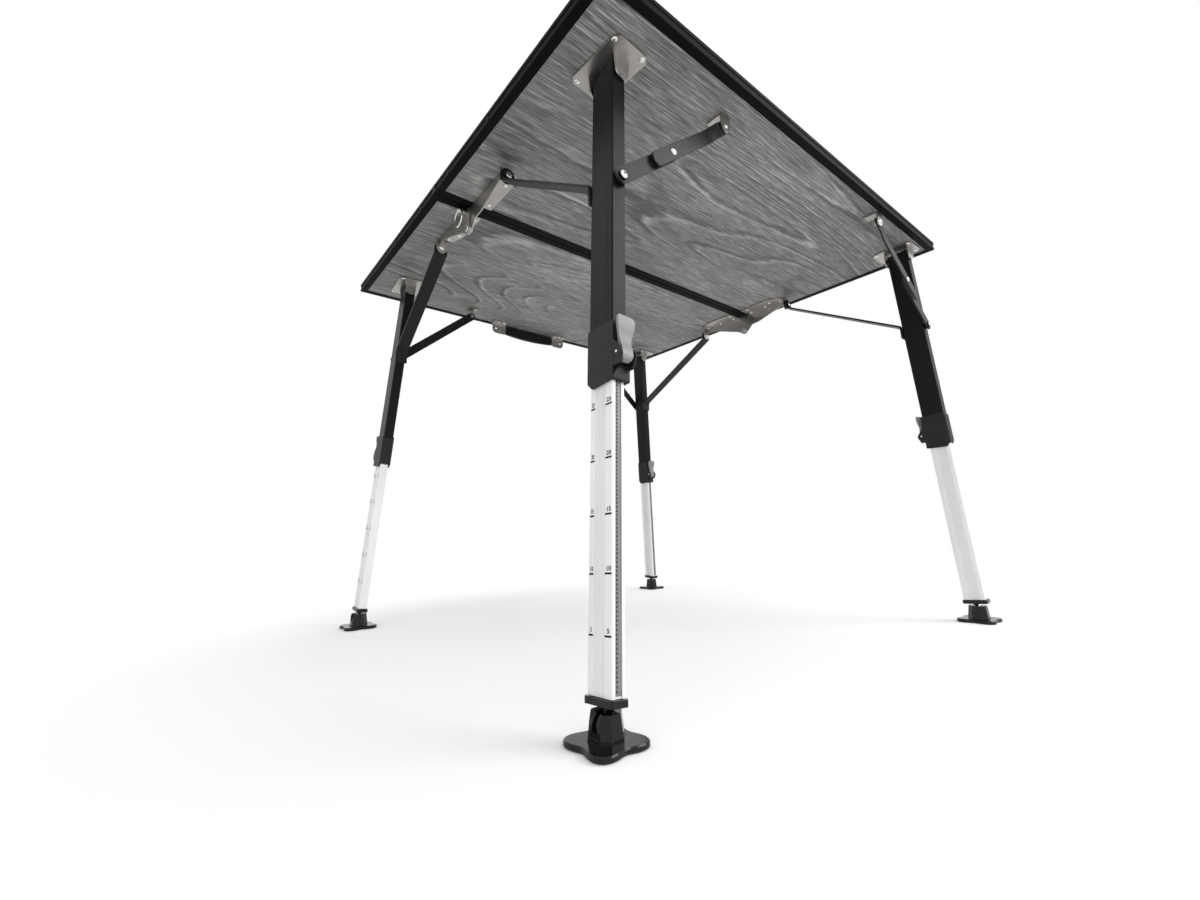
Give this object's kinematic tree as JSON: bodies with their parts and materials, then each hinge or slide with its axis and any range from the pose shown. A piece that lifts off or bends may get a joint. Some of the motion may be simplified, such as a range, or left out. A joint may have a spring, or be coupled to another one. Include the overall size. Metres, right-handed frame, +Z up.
{
  "type": "folding camping table",
  "caption": "Square folding camping table: two hinged top halves on splayed telescopic legs with folding braces, pivoting feet and a carrying handle.",
  "frame": {"origin": "on the ground, under the middle of the box round the table and its feet", "axes": "+X from the far half to the near half, +Y from the front edge to the back edge along the fold seam, +Z up"},
  "size_m": [0.855, 0.858, 0.69],
  "materials": {
    "laminate": "grey woodgrain laminate, satin",
    "black_rail": "black anodised",
    "black_brace": "satin black",
    "dark_sleeve": "fine matt grain",
    "grey_lever": "satin grey",
    "silver_tube": "silver anodised, fine ribs",
    "steel_plate": "brushed",
    "bright_steel": "bright",
    "black_foot": "glossy",
    "black_grip": "satin"
  },
  "bodies": {
    "near_half": {"near_board": "laminate", "near_edge_frame": "black_rail", "near_front_hinge_plate": "steel_plate", "near_front_leg_bracket": "steel_plate", "near_front_brace_bracket": "steel_plate", "near_back_hinge_plate": "steel_plate", "near_back_leg_bracket": "steel_plate", "near_back_brace_bracket": "steel_plate", "front_hinge_pin": "bright_steel", "back_hinge_pin": "bright_steel"},
    "far_half": {"far_board": "laminate", "far_edge_frame": "black_rail", "far_front_hinge_plate": "steel_plate", "far_front_leg_bracket": "steel_plate", "far_front_brace_bracket": "steel_plate", "far_back_hinge_plate": "steel_plate", "far_back_leg_bracket": "steel_plate", "far_back_brace_bracket": "steel_plate", "handle_grip": "black_grip", "front_handle_bracket": "steel_plate", "back_handle_bracket": "steel_plate"},
    "lock": {"lock_plunger": "bright_steel"},
    "pull_ring": {"lock_pull_ring": "bright_steel"},
    "near_front_leg": {"near_front_upper_tube": "black_rail", "near_front_sleeve": "dark_sleeve", "near_front_long_brace": "black_brace"},
    "near_front_lower_leg": {"near_front_inner_tube": "silver_tube", "near_front_end_cap": "black_foot"},
    "near_front_foot": {"near_front_foot": "black_foot"},
    "near_front_lever": {"near_front_lever": "grey_lever"},
    "near_front_brace_lower": {"near_front_knee_brace_lower": "black_brace"},
    "near_front_brace_upper": {"near_front_knee_brace_upper": "black_brace"},
    "near_back_leg": {"near_back_upper_tube": "black_rail", "near_back_sleeve": "dark_sleeve", "near_back_long_brace": "black_brace"},
    "near_back_lower_leg": {"near_back_inner_tube": "silver_tube", "near_back_end_cap": "black_foot"},
    "near_back_foot": {"near_back_foot": "black_foot"},
    "near_back_lever": {"near_back_lever": "grey_lever"},
    "near_back_brace_lower": {"near_back_knee_brace_lower": "black_brace"},
    "near_back_brace_upper": {"near_back_knee_brace_upper": "black_brace"},
    "far_front_leg": {"far_front_upper_tube": "black_rail", "far_front_sleeve": "dark_sleeve", "far_front_long_brace": "black_brace"},
    "far_front_lower_leg": {"far_front_inner_tube": "silver_tube", "far_front_end_cap": "black_foot"},
    "far_front_foot": {"far_front_foot": "black_foot"},
    "far_front_lever": {"far_front_lever": "grey_lever"},
    "far_front_brace_lower": {"far_front_knee_brace_lower": "black_brace"},
    "far_front_brace_upper": {"far_front_knee_brace_upper": "black_brace"},
    "far_back_leg": {"far_back_upper_tube": "black_rail", "far_back_sleeve": "dark_sleeve", "far_back_long_brace": "black_brace"},
    "far_back_lower_leg": {"far_back_inner_tube": "silver_tube", "far_back_end_cap": "black_foot"},
    "far_back_foot": {"far_back_foot": "black_foot"},
    "far_back_lever": {"far_back_lever": "grey_lever"},
    "far_back_brace_lower": {"far_back_knee_brace_lower": "black_brace"},
    "far_back_brace_upper": {"far_back_knee_brace_upper": "black_brace"}
  },
  "joints": [
    {"name": "table_fold", "type": "hinge", "parent": "near_half", "child": "far_half", "pos_m": [0, -0.0118, 0.6388], "axis": [0, -1, 0], "range_deg": [0, 50]},
    {"name": "lock_pull", "type": "slide", "parent": "far_half", "child": "lock", "axis": [0, -1, 0], "range_m": [0, 0.006], "stiffness_N_per_m": 300, "springref_m": -0.01},
    {"name": "ring_swing", "type": "hinge", "parent": "lock", "child": "pull_ring", "pos_m": [-0.0098, -0.369, 0.6697], "axis": [-1, 0, 0], "range_deg": [0, 80]},
    {"name": "near_front_leg_fold", "type": "hinge", "parent": "near_half", "child": "near_front_leg", "pos_m": [0.321, -0.3402, 0.6598], "axis": [0.9979, 0.0652, 0], "range_deg": [0, 92]},
    {"name": "near_front_leg_slide", "type": "slide", "parent": "near_front_leg", "child": "near_front_lower_leg", "axis": [-0.0675, 0.0934, 0.9933], "range_m": [0, 0.25]},
    {"name": "near_front_foot_tilt", "type": "hinge", "parent": "near_front_lower_leg", "child": "near_front_foot", "pos_m": [0.36479, -0.40074, 0.0158], "axis": [-0.9977, -0.0063, -0.0673], "range_deg": [0, 90]},
    {"name": "near_front_lever_press", "type": "hinge", "parent": "near_front_leg", "child": "near_front_lever", "pos_m": [0.36804, -0.37128, 0.32918], "axis": [0, -0.9956, 0.0936], "range_deg": [0, 6], "stiffness_Nm_per_rad": 0.2, "springref_deg": -9.74},
    {"name": "near_front_brace_lower_turn", "type": "hinge", "parent": "near_front_leg", "child": "near_front_brace_lower", "pos_m": [0.35212, -0.35295, 0.52419], "axis": [0.9977, 0.0063, 0.0673], "range_deg": [0, 44.1]},
    {"name": "near_front_brace_upper_turn", "type": "hinge", "parent": "near_half", "child": "near_front_brace_upper", "pos_m": [0.356, -0.1842, 0.6613], "axis": [0.9977, 0.0063, 0.0673], "range_deg": [-38.3, 0]},
    {"name": "near_back_leg_fold", "type": "hinge", "parent": "near_half", "child": "near_back_leg", "pos_m": [0.3555, 0.3402, 0.6598], "axis": [-0.9991, 0.042, 0], "range_deg": [0, 82]},
    {"name": "near_back_leg_slide", "type": "slide", "parent": "near_back_leg", "child": "near_back_lower_leg", "axis": [-0.0675, -0.0934, 0.9933], "range_m": [0, 0.25]},
    {"name": "near_back_foot_tilt", "type": "hinge", "parent": "near_back_lower_leg", "child": "near_back_foot", "pos_m": [0.39929, 0.40074, 0.0158], "axis": [0.9977, -0.0063, 0.0673], "range_deg": [0, 90]},
    {"name": "near_back_lever_press", "type": "hinge", "parent": "near_back_leg", "child": "near_back_lever", "pos_m": [0.35365, 0.37159, 0.32588], "axis": [0, 0.9956, 0.0936], "range_deg": [0, 6], "stiffness_Nm_per_rad": 0.2, "springref_deg": -9.74},
    {"name": "near_back_brace_lower_turn", "type": "hinge", "parent": "near_back_leg", "child": "near_back_brace_lower", "pos_m": [0.38662, 0.35295, 0.52419], "axis": [-0.9977, 0.0063, -0.0673], "range_deg": [0, 42.1]},
    {"name": "near_back_brace_upper_turn", "type": "hinge", "parent": "near_half", "child": "near_back_brace_upper", "pos_m": [0.3835, 0.1842, 0.6613], "axis": [-0.9977, 0.0063, -0.0673], "range_deg": [-36.9, 0]},
    {"name": "far_front_leg_fold", "type": "hinge", "parent": "far_half", "child": "far_front_leg", "pos_m": [-0.321, -0.3402, 0.6598], "axis": [0.9979, -0.0652, 0], "range_deg": [0, 92]},
    {"name": "far_front_leg_slide", "type": "slide", "parent": "far_front_leg", "child": "far_front_lower_leg", "axis": [0.0675, 0.0934, 0.9933], "range_m": [0, 0.25]},
    {"name": "far_front_foot_tilt", "type": "hinge", "parent": "far_front_lower_leg", "child": "far_front_foot", "pos_m": [-0.36479, -0.40074, 0.0158], "axis": [-0.9977, 0.0063, 0.0673], "range_deg": [0, 90]},
    {"name": "far_front_lever_press", "type": "hinge", "parent": "far_front_leg", "child": "far_front_lever", "pos_m": [-0.36804, -0.37128, 0.32918], "axis": [0, 0.9956, -0.0936], "range_deg": [0, 6], "stiffness_Nm_per_rad": 0.2, "springref_deg": -9.74},
    {"name": "far_front_brace_lower_turn", "type": "hinge", "parent": "far_front_leg", "child": "far_front_brace_lower", "pos_m": [-0.35212, -0.35295, 0.52419], "axis": [0.9977, -0.0063, -0.0673], "range_deg": [0, 44.1]},
    {"name": "far_front_brace_upper_turn", "type": "hinge", "parent": "far_half", "child": "far_front_brace_upper", "pos_m": [-0.356, -0.1842, 0.6613], "axis": [0.9977, -0.0063, -0.0673], "range_deg": [-38.3, 0]},
    {"name": "far_back_leg_fold", "type": "hinge", "parent": "far_half", "child": "far_back_leg", "pos_m": [-0.3555, 0.3402, 0.6598], "axis": [-0.9991, -0.042, 0], "range_deg": [0, 82]},
    {"name": "far_back_leg_slide", "type": "slide", "parent": "far_back_leg", "child": "far_back_lower_leg", "axis": [0.0675, -0.0934, 0.9933], "range_m": [0, 0.25]},
    {"name": "far_back_foot_tilt", "type": "hinge", "parent": "far_back_lower_leg", "child": "far_back_foot", "pos_m": [-0.39929, 0.40074, 0.0158], "axis": [0.9977, 0.0063, -0.0673], "range_deg": [0, 90]},
    {"name": "far_back_lever_press", "type": "hinge", "parent": "far_back_leg", "child": "far_back_lever", "pos_m": [-0.35365, 0.37159, 0.32588], "axis": [0, -0.9956, -0.0936], "range_deg": [0, 6], "stiffness_Nm_per_rad": 0.2, "springref_deg": -9.74},
    {"name": "far_back_brace_lower_turn", "type": "hinge", "parent": "far_back_leg", "child": "far_back_brace_lower", "pos_m": [-0.38662, 0.35295, 0.52419], "axis": [-0.9977, -0.0063, 0.0673], "range_deg": [0, 42.1]},
    {"name": "far_back_brace_upper_turn", "type": "hinge", "parent": "far_half", "child": "far_back_brace_upper", "pos_m": [-0.3835, 0.1842, 0.6613], "axis": [-0.9977, -0.0063, 0.0673], "range_deg": [-36.9, 0]}
  ],
  "couplings": [
    {"joint": "near_front_brace_lower_turn", "follows": "near_front_leg_fold", "ratio": 0.4774},
    {"joint": "near_front_brace_upper_turn", "follows": "near_front_leg_fold", "ratio": -0.4147},
    {"joint": "near_back_brace_lower_turn", "follows": "near_back_leg_fold", "ratio": 0.511},
    {"joint": "near_back_brace_upper_turn", "follows": "near_back_leg_fold", "ratio": -0.4479},
    {"joint": "far_front_brace_lower_turn", "follows": "far_front_leg_fold", "ratio": 0.4774},
    {"joint": "far_front_brace_upper_turn", "follows": "far_front_leg_fold", "ratio": -0.4147},
    {"joint": "far_back_brace_lower_turn", "follows": "far_back_leg_fold", "ratio": 0.511},
    {"joint": "far_back_brace_upper_turn", "follows": "far_back_leg_fold", "ratio": -0.4479}
  ]
}
